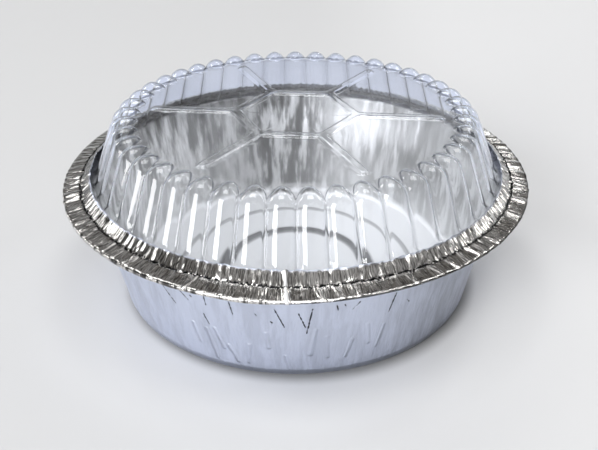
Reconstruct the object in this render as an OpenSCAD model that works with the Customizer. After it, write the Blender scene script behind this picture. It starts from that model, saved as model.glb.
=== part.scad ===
// Round foil take-out pan with a clear fluted dome lid, closed for carrying.
// The pan is one drawn sheet of foil. Its lip is folded in over the lid's flange and
// gathered against the foot of the dome, so pan and lid hold each other.
// The lid is one thermoformed sheet with a flat top, a hexagon of ribs and round flutes.
// The origin is the centre of the pan's underside, +Z is up and -Y is the front.

/* [Pan] */
// Radius of the pan's mouth, where the wall turns out into the flange
mouth_r = 78.8; // [65:0.1:100]
// Height of the mouth above the table
mouth_h = 46.6; // [30:0.2:70]
// Lean of the wall from upright, in degrees
wall_lean = 10.7; // [5:0.1:18]
// Radius of the corner between wall and base
corner_r = 3; // [2:0.25:8]
// Radius of the bend between wall and flange
mouth_bend = 1.2; // [0.6:0.1:2]
// Thickness of the foil
foil_t = 0.08; // [0.06:0.01:0.2]
// Height of the wrinkles in the wall
wrinkle_h = 0.5; // [0:0.05:0.7]

/* [Base beads] */
// Radius of the inner bead pressed up into the base
inner_bead_r = 31; // [20:0.5:36]
// Width of the inner bead
inner_bead_w = 4.2; // [2:0.1:6]
// Height of the inner bead
inner_bead_h = 0.9; // [0.3:0.1:2]
// Radius of the outer bead pressed up into the base
outer_bead_r = 50.4; // [42:0.1:54]
// Width of the outer bead
outer_bead_w = 2.4; // [1:0.1:5]
// Height of the outer bead
outer_bead_h = 0.5; // [0.2:0.1:1.5]

/* [Folded rim] */
// Width of the flange, from the mouth out to the folded edge
flange_w = 11.2; // [9:0.1:16]
// How far the flange falls from the mouth to its edge
flange_fall = 0.95; // [0:0.05:2]
// Height of the round fold at the edge
fold_h = 1.5; // [1.2:0.1:2.4]
// Width of the flat part of the lip, from the edge in to the crease
lip_w = 6.8; // [5:0.1:7.5]
// How far the lip climbs across that width
lip_rise = 0.95; // [0.5:0.05:2]
// Run of the gathered collar, from the crease in to the raw edge
collar_w = 4; // [2:0.1:4.5]
// Rise of the gathered collar
collar_h = 3.3; // [2:0.1:5]
// Height of the pleats on the flat part of the lip
lip_pleat_h = 0.45; // [0:0.05:0.6]
// Height of the pleats on the collar
collar_pleat_h = 0.9; // [0:0.05:1]
// How far the crease and the raw edge stray to and fro
edge_stray = 0.5; // [0:0.05:0.8]
// How far the rim hangs down at the front
droop = 0.9; // [0:0.1:2]
// Spread of that dip round the rim, in degrees
droop_spread = 13; // [6:1:30]
// Number of pleats round the rim
pleats = 72; // [48:4:84]

/* [Lid] */
// Thickness of the lid's sheet
lid_t = 0.25; // [0.2:0.01:0.4]
// Clearance between foil and lid where they are pressed together
lid_gap = 0.12; // [0.1:0.01:0.2]
// Height of the lid's flat top above the mouth
dome_h = 23.7; // [16:0.1:40]
// Lean of the dome's crests from upright, in degrees
dome_lean = 20.7; // [12:0.1:26]
// How far the crests stand outside the mouth at its level
crest_out = 0; // [-1:0.1:0.6]
// Radius of the shoulder along a crest
shoulder_r = 6.5; // [4:0.1:8]
// Height of the crests above the flat top
crest_h = 2.1; // [1:0.1:2.6]
// Radius of the shoulder along a valley
valley_shoulder_r = 6; // [4:0.1:8]
// Length of the round end of a flute, from the flat top up to its crest
tip_len = 4.5; // [3:0.1:6]
// Number of flutes
flutes = 45; // [39:3:54]
// Slope of a flute's side against its crest, in degrees
flute_side = 50; // [30:1:55]
// Direction of the first crest, in degrees
flute_turn = -6; // [-8:0.5:8]
// Height of the dome's foot above the mouth
foot_h = 2.6; // [2.2:0.1:3.2]
// Width of the lid's flange
lid_flange_w = 6.6; // [5:0.1:7]
// How far the lid's flange climbs to the dome's foot
lid_flange_rise = 1.2; // [0.8:0.05:1.6]

/* [Ribs on the flat top] */
// Radius to the hexagon's corners, at the middle of the rib
hex_r = 23.2; // [14:0.2:32]
// Direction of the first spoke, in degrees
hex_turn = -5.6; // [-10:0.1:10]
// Radius where the spokes end
spoke_r = 56.5; // [44:0.1:58]
// Width of the rib's top
rib_w = 2.4; // [0.8:0.1:3]
// Width of each sloping side of a rib
rib_side = 1.3; // [0.4:0.1:1.6]
// Height of the ribs
rib_h = 1; // [0.4:0.1:1.4]

/* [Hidden] */

// Seeds for the uneven pleats
wall_seed = 11;
lip_seed = 23;
stray_seed = 37;
// Least size of a pleat as a share of the largest
pleat_least = 0.35;

function unit(v) = v / norm(v);
function polar(r, a, z) = [r * cos(a), r * sin(a), z];

// Direction of an outline at row i, taken from its neighbours
function heading(rows, i) =
    let (here = rows[i], last = len(rows) - 1)
    i == last ? unit(here - rows[i - 1])
    : i == 0 ? unit(rows[1] - here)
    : unit(unit(rows[i + 1] - here) + unit(here - rows[i - 1]));

// Direction square to that, on the under side of the sheet
function square_to(rows, i) = let (d = heading(rows, i)) [d[1], -d[0]];

// The flange and what lies on it hang down at the front, more towards the edge
rim_r = mouth_r + flange_w;
front = -92;
function dip(a) = let (off = ((a - front + 540) % 360) - 180) droop * exp(-pow(off / droop_spread, 2));
function hang(r, a) = dip(a) * min(1, max(0, (r - mouth_r) / flange_w));

// A closed thin sheet round the Z axis. A row has 1, half or all of the n columns, and
// under(i, c) and upper(i, c) are the points of its two skins at row i and column c.
module sheet(n, counts, under, upper) {
    last = len(counts) - 1;
    starts = [for (i = 0, s = 0; i <= last; s = s + counts[i], i = i + 1) s];
    skin = starts[last] + counts[last];
    points = [
        for (face = [under, upper]) for (i = [0:last]) for (k = [0:counts[i] - 1])
            face(i, k * n / counts[i])
    ];
    lower = [for (i = [1:last]) each band(counts[i - 1], counts[i], starts[i - 1], starts[i])];
    above = [for (t = lower) [t[0], t[2], t[1]] + [skin, skin, skin]];
    edge = [
        for (k = [0:n - 1])
            let (u = starts[last] + k, v = starts[last] + (k + 1) % n)
            each [[v, u, u + skin], [v, u + skin, v + skin]]
    ];
    polyhedron(points, concat(lower, above, edge));
}

// Triangles between two rows of one skin: a fan, a plain strip, or a strip of half to all columns
function band(na, nb, sa, sb) = [
    for (k = [0:(na == 1 ? nb : na) - 1])
        let (m = (k + 1) % na, p = sb + (k * nb / na) % nb)
        each (
            na == 1 ? [[sa, sb + k, sb + (k + 1) % nb]]
            : na == nb ? let (q = sb + m) [[sa + k, p, q], [sa + k, q, sa + m]]
            : let (q = p + 1, s = sb + (2 * m) % nb)
                [[sa + k, p, q], [sa + k, q, sa + m], [sa + m, q, s]]
        )
];

// Direction square to a skin point, on the under side, from the points around it
function skin_normal(point, i, c, last) =
    let (
        here = point(i, c),
        back = unit(here - point(i - 1, c)),
        along = i == last ? back : back + unit(point(i + 1, c) - here),
        across = point(i, c + 1) - point(i, c - 1)
    )
    unit(cross(across, along));

// Outline of the pan's outer face, from the centre of the base to the raw edge of the lip.
// A row is [radius, height], and pan_rise beside it gives the height of its pleats.
tan_lean = tan(wall_lean);
function wall_r(z) = mouth_r - (mouth_h - z) * tan_lean;
corner_in = wall_r(0) - corner_r * tan(45 - wall_lean / 2);
wall_foot = corner_r * (1 - sin(wall_lean));
edge_h = mouth_h - flange_fall;
fold_r = rim_r - fold_h / 2 - lip_pleat_h / 2;
crease = [rim_r - lip_w, edge_h + fold_h + lip_rise];
raw_edge = crease + [-collar_w, collar_h];

function bead(r, w, h) = [[r - w / 2, 0], [r - w / 5, h], [r + w / 5, h], [r + w / 2, 0]];
base_rows = concat([[0, 0]], bead(inner_bead_r, inner_bead_w, inner_bead_h),
    bead(outer_bead_r, outer_bead_w, outer_bead_h), [[corner_in, 0]]);
corner_mid = (90 - wall_lean) / 2;
wall_span = mouth_h - mouth_bend - wall_foot;
wall_rows = concat(
    [[corner_in + corner_r * sin(corner_mid), corner_r * (1 - cos(corner_mid))]],
    [for (s = [0:1 / 3:1]) let (z = wall_foot + s * wall_span) [wall_r(z), z]]);
rim_rows = [
    [mouth_r + mouth_bend, mouth_h],
    [fold_r, edge_h],
    [fold_r + fold_h / 2, edge_h + fold_h / 2],
    [fold_r, edge_h + fold_h],
    ([fold_r, edge_h + fold_h] + crease) / 2,
    crease,
    (crease + raw_edge) / 2,
    raw_edge
];
pan_rows = concat(base_rows, wall_rows, rim_rows);
pan_rise = concat([for (r = base_rows) 0],
    [0.3, 0.7, 1, 1, 0.8] * wrinkle_h,
    [0, 0.2, 0.5, 1, 0.8, 0] * lip_pleat_h,
    [0.7, 1] * collar_pleat_h);
pan_last = len(pan_rows) - 1;
crease_row = pan_last - 2;

pleat_count = round(pleats);
pan_n = 2 * pleat_count;
wall_size = rands(pleat_least, 1, pan_n, wall_seed);
lip_size = rands(pleat_least, 1, pan_n, lip_seed);
stray = rands(-1, 1, pan_n, stray_seed);

pan_point = function(i, c)
    let (
        k = (c + pan_n) % pan_n,
        a = 360 * k / pan_n,
        on_wall = i < len(base_rows) + len(wall_rows),
        size = on_wall ? wall_size[k] : lip_size[k],
        rise = k % 2 == 0 ? 0 : pan_rise[i] * size,
        wander = i == crease_row || i == pan_last ? stray[k] * edge_stray : 0,
        p = pan_rows[i] + square_to(pan_rows, i) * rise + heading(pan_rows, i) * wander
    )
    polar(p[0], a, p[1] - hang(p[0], a));

pan_inside = function(i, c)
    pan_point(i, c) - foil_t * (i < len(base_rows) ? [0, 0, -1] : skin_normal(pan_point, i, c, pan_last));

module foil_pan() {
    counts = [
        for (i = [0:pan_last])
            i == 0 ? 1 : i < len(base_rows) ? pleat_count : pan_n
    ];
    color("silver") sheet(pan_n, counts, pan_point, pan_inside);
}

// Outer face of the lid. The plate's rows have a column at each edge of each spoke, and the
// flutes' rows have four columns to a flute: its crest, a side, the valley and a side.
// The ribs part the plate into six, so the flutes come in threes
flute_count = 3 * round(flutes / 3);
lid_n = 4 * flute_count;
plate_z = mouth_h + dome_h;
top_z = plate_z + crest_h;
foot_z = mouth_h + foot_h;
function crest_r(z) = mouth_r + crest_out - (z - mouth_h) * tan(dome_lean);
function flute_d(r) = r * sin(180 / flute_count) * tan(flute_side / 2);
function valley_r(z) = let (r = crest_r(z)) r - flute_d(r) / cos(dome_lean);

// The shoulder's arcs run from level to the slope of the wall, along a crest and along a valley
turn = 90 - dome_lean;
shoulder_turns = [for (s = [0:1 / 3:1]) s * turn];
function shoulder(start, top, r) = [for (t = shoulder_turns) [start + r * sin(t), top - r * (1 - cos(t))]];
crest_in = crest_r(top_z) - shoulder_r * tan(turn / 2);
valley_in = valley_r(plate_z) - valley_shoulder_r * tan(turn / 2);

lid_edge_r = rim_r - fold_h / 2 - lip_pleat_h / 2 - foil_t - lid_gap;
function flange_top(r) = mouth_h - flange_fall * (r - mouth_r) / (fold_r - mouth_r) + foil_t;
lid_edge = [lid_edge_r, flange_top(lid_edge_r) + lid_gap + lid_t];
lid_flange_in = lid_edge + [-lid_flange_w, lid_flange_rise];
crest_foot = [crest_r(foot_z), foot_z];
valley_foot = [valley_r(foot_z), foot_z];

// The foot turns out into the flange along two chords, which meet part of the way out and down
foot_out = 0.38;
foot_down = 0.7;
foot_bend = [
    crest_foot[0] * (1 - foot_out) + lid_flange_in[0] * foot_out,
    foot_z * (1 - foot_down) + lid_flange_in[1] * foot_down
];
// Share of a flute's depth that is left at the bend
bend_depth = 0.4;
valley_bend = foot_bend - [flute_d(mouth_r) * bend_depth, 0];

// The round end of a flute has a middle row at these shares of its length and height
tip_along = 0.3;
tip_up = 0.6;
tip_r = crest_in - tip_len;
tip_rows = [[tip_r, plate_z], [tip_r + tip_len * tip_along, plate_z + crest_h * tip_up]];
// Beside it the two rows close in on the valley's shoulder, at these shares of its length
tip_close = [0.1, 0.05];
tip_sides = [for (share = tip_close) [valley_in - tip_len * share, plate_z]];
crest_rows = concat(tip_rows, shoulder(crest_in, top_z, shoulder_r),
    [crest_foot, foot_bend, lid_flange_in, lid_edge]);
valley_rows = concat(tip_sides, shoulder(valley_in, plate_z, valley_shoulder_r),
    [valley_foot, valley_bend, lid_flange_in, lid_edge]);

// Share of a flute's height at a column: 1 on the crest and 0 in the valley
function flute_share(c) =
    let (s = abs(((c + 2) % 4) - 2) / 2, side = sin(flute_side))
    (sqrt(1 - pow(s * side, 2)) - cos(flute_side)) / (1 - cos(flute_side));

hex_flat = hex_r * cos(30);
rib_half = rib_w / 2;
rib_foot = rib_half + rib_side;
// Rows of the plate: distance of a hexagon's side from the centre, or radius of a ring
hex_rows = [hex_flat - rib_foot, hex_flat - rib_half, hex_flat + rib_half, hex_flat + rib_foot];
ring_rows = [spoke_r - rib_foot, spoke_r];
plate_last = len(hex_rows) + len(ring_rows);
lid_last = plate_last + len(crest_rows);

sector = 2 * flute_count / 6;
column = 360 / (2 * flute_count);
spoke_edges = [0, rib_half, rib_foot];
// The flutes' columns start at the one nearest the first spoke
lag = round((hex_turn - flute_turn) * lid_n / 360);

function plate_point(i, c) =
    let (
        k = (c / 2 + floor(sector / 2)) % (2 * flute_count),
        spoke = floor(k / sector),
        off = k - spoke * sector - floor(sector / 2),
        on_hex = i <= len(hex_rows),
        near_r = on_hex ? hex_r + rib_foot : ring_rows[i - len(hex_rows) - 1],
        turned = abs(off) < len(spoke_edges) ? sign(off) * asin(spoke_edges[abs(off)] / near_r) : off * column,
        r = on_hex ? hex_rows[i - 1] / cos(abs(turned) - 30) : near_r,
        on_rib = i == 2 || i == 3 || (abs(off) < 2 && (i == 4 || i == 5))
    )
    polar(r, hex_turn + 60 * spoke + turned, plate_z + (on_rib ? rib_h : 0));

function flute_point(i, c) =
    let (
        j = i - plate_last - 1,
        k = (c + lag + lid_n) % lid_n,
        share = flute_share(k),
        p = crest_rows[j] * share + valley_rows[j] * (1 - share),
        a = flute_turn + 360 * k / lid_n
    )
    polar(p[0], a, p[1] - hang(p[0], a));

lid_point = function(i, c)
    i == 0 ? [0, 0, plate_z]
    : i <= plate_last ? plate_point(i, c)
    : flute_point(i, c);

lid_inside = function(i, c)
    lid_point(i, c) + lid_t * (i <= plate_last + 1 ? [0, 0, -1] : skin_normal(lid_point, i, c, lid_last));

module dome_lid() {
    counts = [
        for (i = [0:lid_last])
            i == 0 ? 1 : i <= plate_last ? 2 * flute_count : lid_n
    ];
    color("aliceblue", 0.5) sheet(lid_n, counts, lid_inside, lid_point);
}

foil_pan();
dome_lid();
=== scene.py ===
# %% [markdown]
# # A foil take-out pan under a clear dome lid
#
# The object is two sheets. One is aluminium foil, drawn into a round pan whose lip is folded
# in over the lid. The other is clear plastic, formed into a low dome with round flutes and a
# few ribs on top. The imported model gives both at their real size. This script dresses them:
# each sheet is built again with its pleats, wrinkles and flutes, and gets its own finish.

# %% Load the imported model
import bisect
import math
import random

import bmesh
import bpy
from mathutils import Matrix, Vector, noise


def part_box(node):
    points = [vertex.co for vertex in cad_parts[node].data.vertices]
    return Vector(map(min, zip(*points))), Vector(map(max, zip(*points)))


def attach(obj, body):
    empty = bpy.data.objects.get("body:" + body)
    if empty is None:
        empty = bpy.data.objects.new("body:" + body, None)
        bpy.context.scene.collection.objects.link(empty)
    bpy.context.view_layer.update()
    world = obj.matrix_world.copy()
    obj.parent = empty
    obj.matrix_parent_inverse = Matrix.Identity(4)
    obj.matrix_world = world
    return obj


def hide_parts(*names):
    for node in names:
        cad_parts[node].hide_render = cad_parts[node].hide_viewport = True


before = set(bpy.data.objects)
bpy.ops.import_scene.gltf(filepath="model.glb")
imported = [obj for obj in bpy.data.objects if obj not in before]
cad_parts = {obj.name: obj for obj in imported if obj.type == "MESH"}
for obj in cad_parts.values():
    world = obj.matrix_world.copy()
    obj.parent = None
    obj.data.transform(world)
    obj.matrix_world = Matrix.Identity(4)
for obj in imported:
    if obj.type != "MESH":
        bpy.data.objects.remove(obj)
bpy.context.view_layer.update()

MM = 0.001


def mm(*lengths):
    """Lengths given in millimetres, in Blender's metres."""
    return [length * MM for length in lengths]


pan_low, pan_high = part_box("foil_pan")
lid_low, lid_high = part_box("dome_lid")
print("pan", [round(c / MM, 1) for c in pan_high - pan_low], "mm")
print("lid", [round(c / MM, 1) for c in lid_high - lid_low], "mm")

# %% [markdown]
# ## The camera
# A camera is set by where it stands, where it looks and how much it sees. The tilt and the
# distance of this one come from the ellipses of the rim and the dome, which are circles seen
# at a slant. A small shift moves the picture sideways without turning the camera.

# %% Camera
PHOTO_W = 598
FOCAL_PX = 844.3
SHIFT_PX = 3
SENSOR_MM = 36
STANDS_AT = mm(0, -299.4, 198.7)
LOOK_DOWN = math.radians(30.72)
ROLL = math.radians(-0.295)

camera_data = bpy.data.cameras.new("camera")
camera_data.sensor_width = SENSOR_MM
camera_data.lens = SENSOR_MM * FOCAL_PX / PHOTO_W
camera_data.shift_x = SHIFT_PX / PHOTO_W
camera = bpy.data.objects.new("camera", camera_data)
camera.location = STANDS_AT
camera.rotation_mode = "ZYX"
camera.rotation_euler = (math.pi / 2 - LOOK_DOWN, 0, ROLL)
bpy.context.collection.objects.link(camera)
bpy.context.scene.camera = camera
print("lens", round(camera_data.lens, 1), "mm")

# %% [markdown]
# ## Shader maths
# Materials are easier to read as sums than as a web of nodes. This small class holds one
# output of a node. Plus, minus, times and the rest add Math nodes behind the scenes, and
# `node` adds any other kind, with its settings first and then its inputs.

# %% Shader maths
class Wire:
    def __init__(self, tree, socket=None):
        self.tree = tree
        self.socket = socket

    def node(self, kind, settings=None, output=0, **inputs):
        """Adds a node. An input goes by its name, with _ for a space, or by i and its number."""
        made = self.tree.nodes.new("ShaderNode" + kind)
        for name, value in (settings or {}).items():
            setattr(made, name, value)
        for name, value in inputs.items():
            key = int(name[1:]) if name[1:].isdigit() else name.replace("_", " ")
            if isinstance(value, Wire):
                self.tree.links.new(value.socket, made.inputs[key])
            else:
                made.inputs[key].default_value = value
        return Wire(self.tree, made.outputs[output])

    def math(self, operation, a, b=0.0):
        return self.node("Math", {"operation": operation}, i0=a, i1=b)

    def __add__(self, other):
        return self.math("ADD", self, other)

    def __sub__(self, other):
        return self.math("SUBTRACT", self, other)

    def __mul__(self, other):
        return self.math("MULTIPLY", self, other)

    def __truediv__(self, other):
        return self.math("DIVIDE", self, other)

    def __pow__(self, other):
        return self.math("POWER", self, other)

    def __rsub__(self, other):
        return self.math("SUBTRACT", other, self)

    def __rtruediv__(self, other):
        return self.math("DIVIDE", other, self)

    def __abs__(self):
        return self.math("ABSOLUTE", self)

    __radd__ = __add__
    __rmul__ = __mul__

    def step(self, low, high, out_low=0.0, out_high=1.0):
        """A smooth step: out_low below low, out_high above high."""
        return self.node("MapRange", {"interpolation_type": "SMOOTHSTEP"},
                         Value=self, i1=low, i2=high, i3=out_low, i4=out_high)

    def fade(self, low, high):
        """1 below low and 0 above high."""
        return self.step(low, high, 1.0, 0.0)

    def mix(self, a, b):
        """Colour a where this is 0, and b where it is 1."""
        return self.node("Mix", {"data_type": "RGBA"}, output=2, i0=self, i6=a, i7=b)

    def shade(self, colour):
        """This much of a colour."""
        return self.node("VectorMath", {"operation": "SCALE"}, i0=colour, Scale=self)

    def parts(self):
        """The X, Y and Z of a vector."""
        return [self.node("SeparateXYZ", output=i, Vector=self) for i in range(3)]

    def cloud(self, scale, detail, roughness):
        """Soft noise from 0 to 1 over a vector."""
        return self.node("TexNoise", {"noise_dimensions": "3D"},
                         Vector=self, Scale=scale, Detail=detail, Roughness=roughness)


def new_material(name):
    """A material with an empty tree, and the wire that everything in it starts from."""
    material = bpy.data.materials.new(name)
    material.use_nodes = True
    material.node_tree.nodes.clear()
    return material, Wire(material.node_tree)


def show(shader, kind="Material"):
    """Joins a shader to the output of its material, or of its world."""
    out = shader.tree.nodes.new("ShaderNodeOutput" + kind)
    shader.tree.links.new(shader.socket, out.inputs["Surface"])


print("shader maths ready")

# %% [markdown]
# ## The floor
# The floor is a wide pale disc, and its colour alone makes the background pale. Close to the pan and to the
# right of it, the colour carries painted light that lifts the widest shadow of the soft lamps. Where the
# pan's base meets the floor, a dark ring is a painted contact shadow, because a contact shadow is that
# narrow.
# Rays that have come through the lid see it a little lavender, as the plastic makes it look.

# %% Floor
FLOOR_R = 4.0
FLOOR_SEGMENTS = 96
FLOOR_FAR = (0.605, 0.608, 0.612, 1)
# Painted light: lighter floor to the right and near the pan, lifting the soft lamps' shadow.
FLOOR_FAR_RIGHT_SHADOW_LIFT = (0.70, 0.703, 0.707, 1)
FLOOR_NEAR_SHADOW_LIFT = (0.73, 0.733, 0.737, 1)
FLOOR_NEAR_RIGHT_SHADOW_LIFT = (0.93, 0.933, 0.937, 1)
# Painted shadow: the dark contact ring round the pan's foot.
FLOOR_CONTACT_SHADOW = (0.16, 0.16, 0.165, 1)
FLOOR_THROUGH = (0.645, 0.675, 0.79, 1)
PAN_FOOT = mm(1.5, -1.5, 0)
SHADOW_LIFT_RIGHT = mm(0, 130)
CONTACT_SHADOW_RING = mm(67, 74)
CONTACT_SHADOW_SHARE = 0.7
SHADOW_LIFT_RING = mm(72, 100)


def finished_object(name, bm, *materials):
    mesh = bpy.data.meshes.new(name)
    bm.to_mesh(mesh)
    bm.free()
    for material in materials:
        mesh.materials.append(material)
    made = bpy.data.objects.new(name, mesh)
    bpy.context.collection.objects.link(made)
    return made


floor_paint, w = new_material("floor_paint")
place = w.node("TexCoord", output=3)
# Painted light to the right of and near the pan, then a painted contact shadow at its foot.
right_shadow_lift = place.parts()[0].step(*SHADOW_LIFT_RIGHT)
from_foot = w.node("VectorMath", {"operation": "DISTANCE"}, output=1, i0=place, i1=PAN_FOOT)
far_tone = right_shadow_lift.mix(FLOOR_FAR, FLOOR_FAR_RIGHT_SHADOW_LIFT)
near_tone = right_shadow_lift.mix(FLOOR_NEAR_SHADOW_LIFT, FLOOR_NEAR_RIGHT_SHADOW_LIFT)
floor_tone = from_foot.fade(*SHADOW_LIFT_RING).mix(far_tone, near_tone)
floor_tone = (from_foot.fade(*CONTACT_SHADOW_RING) * CONTACT_SHADOW_SHARE).mix(floor_tone, FLOOR_CONTACT_SHADOW)
through_lid = w.node("LightPath", output="Is Transmission Ray")
floor_tone = through_lid.mix(floor_tone, FLOOR_THROUGH)
show(w.node("BsdfPrincipled", Base_Color=floor_tone, Roughness=0.6, Specular_IOR_Level=0.2))

bm = bmesh.new()
bmesh.ops.create_circle(bm, cap_ends=True, segments=FLOOR_SEGMENTS, radius=FLOOR_R)
floor = finished_object("floor", bm, floor_paint)
print("floor", FLOOR_R, "m")

# %% [markdown]
# ## The studio
# Foil and clear plastic show little of their own: what they show is the room. Here the room
# is a world colour that depends only on direction. It is pale at the horizon, dull and patchy
# above it, and bright overhead, with a grey window on the camera's side.

# %% Room
ROOM_PALE = (0.66, 0.68, 0.70, 1)
ROOM_DULL = (0.055, 0.048, 0.041, 1)
ROOM_GREY = (0.30, 0.30, 0.305, 1)
ROOM_WINDOW = (0.55, 0.55, 0.57, 1)
ROOM_TOP = (0.8, 0.8, 0.81, 1)
ROOM_NOISE = (5, 2, 0.5)
PATCHES = (0.42, 0.62)
HORIZON_ENDS = (0.14, 0.22)
TOP_STARTS = (0.86, 0.97)
WINDOW_SIDE = (0.32, 0.46)
WINDOW_SILL = (0.15, 0.24)
WINDOW_HEAD = (0.56, 0.66)

world = bpy.data.worlds.new("studio")
bpy.context.scene.world = world
world.use_nodes = True
world.node_tree.nodes.clear()
w = Wire(world.node_tree)
direction = w.node("TexCoord", output=0)
_, back, up = direction.parts()
patchy = direction.cloud(*ROOM_NOISE).step(*PATCHES).mix(ROOM_DULL, ROOM_GREY)
ceiling = up.step(*TOP_STARTS).mix(patchy, ROOM_TOP)
window = (back * -1.0).step(*WINDOW_SIDE) * up.step(*WINDOW_SILL) * (1 - up.step(*WINDOW_HEAD))
room = up.step(*HORIZON_ENDS).mix(ROOM_PALE, window.mix(ceiling, ROOM_WINDOW))
show(w.node("Background", Color=room, Strength=1.0), "World")
print("room ready")

# %% [markdown]
# A few soft lamps stand in the room. The large one at the front left lights the wall and
# draws the white streaks down the flutes, the one overhead fills the pan, and the small ones
# at the sides and the back give the folded rim its sparkle.

# %% Lamps
# Name, azimuth and elevation in degrees, distance, width and height in metres, brightness.
# Azimuth 0 is the camera's side, and 90 is the right.
LAMPS = [
    ("key_left_front", -38, 18, 6.0, 3.0, 3.5, 10.8),
    ("side_left", -112, 27, 3.0, 0.6, 0.9, 8),
    ("side_right", 112, 32, 3.0, 0.6, 0.9, 4),
    ("overhead", 0, 84, 3.0, 2.3, 1.2, 5.2),
    ("rear_left", -138, 56, 3.0, 0.25, 0.7, 6),
    ("rear_right", 135, 56, 3.0, 0.25, 0.7, 6),
    ("edge_right", 158, 20, 3.0, 0.25, 0.35, 6),
    ("fill_front", 10, 44, 3.0, 1.6, 0.8, 1.0),
]


def softbox(name, azimuth, elevation, distance, width, height, brightness):
    """A rectangular lamp that faces the object and isn't seen itself."""
    data = bpy.data.lights.new(name, "AREA")
    data.shape = "RECTANGLE"
    data.size = width
    data.size_y = height
    data.energy = math.pi * width * height * brightness
    lamp = bpy.data.objects.new(name, data)
    a = math.radians(azimuth)
    e = math.radians(elevation)
    lamp.location = distance * Vector((math.sin(a) * math.cos(e), -math.cos(a) * math.cos(e), math.sin(e)))
    lamp.rotation_euler = (-lamp.location).to_track_quat("-Z", "Y").to_euler()
    lamp.visible_camera = False
    lamp.visible_transmission = False
    bpy.context.collection.objects.link(lamp)


for lamp_row in LAMPS:
    softbox(*lamp_row)
print("lamps", len(LAMPS))

# %% [markdown]
# ## Outlines and rings
# Both sheets are round, so each starts as an outline: a chain of a few points from the axis
# to the edge. Its corners are rounded by a vertex bevel and rows are added by subdividing,
# and one spin makes the sheet. Where the columns have to be finer, the ring edges of those
# rows alone are subdivided. Each point keeps how far along the outline it lies, so that
# later steps know which part of the sheet they are moving.

# %% Outlines
def start_outline(points):
    bm = bmesh.new()
    verts = [bm.verts.new((r * MM, 0, z * MM)) for r, z in points]
    for pair in zip(verts, verts[1:]):
        bm.edges.new(pair)
    return bm, verts


def round_corner(bm, vert, radius, segments):
    """Rounds one corner of an outline to an arc of this radius, in mm."""
    a, b = (e.other_vert(vert).co - vert.co for e in vert.link_edges)
    reach = radius * MM / math.tan(a.angle(b) / 2)
    bmesh.ops.bevel(bm, geom=[vert], offset=reach, offset_type="OFFSET", segments=segments,
                    profile=0.5, affect="VERTICES", material=-1)


def add_rows(bm, longest, where):
    """Subdivides the outline's edges that are longer than this, in mm, where the test is true."""
    for edge in [e for e in bm.edges if where(sum((v.co for v in e.verts), Vector()) / 2 / MM)]:
        cuts = math.ceil(edge.calc_length() / MM / longest) - 1
        if cuts > 0:
            bmesh.ops.subdivide_edges(bm, edges=[edge], cuts=cuts)


def walk(bm):
    """The outline's points in order from the axis, each with its distance along it in mm."""
    point = min((v for v in bm.verts if len(v.link_edges) == 1), key=lambda v: v.co.x)
    came = None
    length = 0.0
    order = [(point, length)]
    while True:
        onward = [e for e in point.link_edges if e is not came]
        if not onward:
            return order
        came = onward[0]
        length += came.calc_length() / MM
        point = came.other_vert(point)
        order.append((point, length))


print("outline helpers ready")

# %% [markdown]
# A spin merges its last column with its first, and what it leaves double at the axis is
# merged after it. A finished ring also has to be told which way is out, because a spin can
# turn a sheet inside out.

# %% Rings
TOUCHING = 1e-6
SAME_ROW = 1e-4


def spin_outline(bm, columns):
    """Turns the outline about the Z axis into a closed ring of columns."""
    along = bm.verts.layers.float.new("along")
    order = walk(bm)
    for vert, length in order:
        vert[along] = length
    stations = [(vert.co / MM, length) for vert, length in order]
    bmesh.ops.spin(bm, geom=bm.verts[:] + bm.edges[:], cent=(0, 0, 0), axis=(0, 0, 1), dvec=(0, 0, 0),
                   angle=2 * math.pi, steps=columns, use_merge=True, use_duplicate=False)
    bmesh.ops.remove_doubles(bm, verts=bm.verts[:], dist=TOUCHING)
    return along, stations


def station(stations, r, z):
    """How far along the outline the point nearest to this one lies."""
    return min(stations, key=lambda s: (s[0].x - r) ** 2 + (s[0].z - z) ** 2)[1]


def finer_rings(bm, along, low, high, cuts):
    """Splits the ring edges of the rows from low to high, so that those rows have more columns."""
    rings = [e for e in bm.edges
             if abs(e.verts[0][along] - e.verts[1][along]) < SAME_ROW and low < e.verts[0][along] < high]
    bmesh.ops.subdivide_edges(bm, edges=rings, cuts=cuts, use_grid_fill=True)


def smooth_step(low, high, x):
    """0 at low and 1 at high, which may lie below it."""
    t = min(1.0, max(0.0, (x - low) / (high - low)))
    return t * t * (3 - 2 * t)


def face_outward(bm, up_at_axis):
    """Makes the faces agree, with those at the axis looking up or down."""
    bmesh.ops.recalc_face_normals(bm, faces=bm.faces[:])
    axis = min(bm.faces, key=lambda f: f.calc_center_median().xy.length)
    if (axis.normal.z > 0) != up_at_axis:
        bmesh.ops.reverse_faces(bm, faces=bm.faces[:])
    bm.normal_update()


print("ring helpers ready")

# %% [markdown]
# ## Crumpled foil
# Foil doesn't wave, it folds: it is flat between sharp creases. Two helpers give that.
# `Folds` is a zigzag round the rim whose teeth have uneven widths and heights. `crumple` is
# a surface of flat facets, which is what the difference of the squared distances to the two
# nearest cell centres gives. `around` is for what does wave, such as the line of an edge.

# %% Folds and crumples
class Folds:
    """A zigzag with this many turning points. Every other one stands up, by least to 1."""

    def __init__(self, count, unevenness, least, seed):
        dice = random.Random(seed)
        step = 2 * math.pi / count
        self.places = [(i + unevenness * dice.uniform(-0.5, 0.5)) * step for i in range(count)]
        self.heights = [(i % 2) * dice.uniform(least, 1) for i in range(count)]

    def at(self, angle):
        angle %= 2 * math.pi
        i = bisect.bisect_right(self.places, angle)
        n = len(self.places)
        low = (i - 1) % n
        high = i % n
        start = self.places[low] - (2 * math.pi if i == 0 else 0)
        end = self.places[high] + (2 * math.pi if i == n else 0)
        share = (angle - start) / (end - start)
        return self.heights[low] * (1 - share) + self.heights[high] * share


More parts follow.
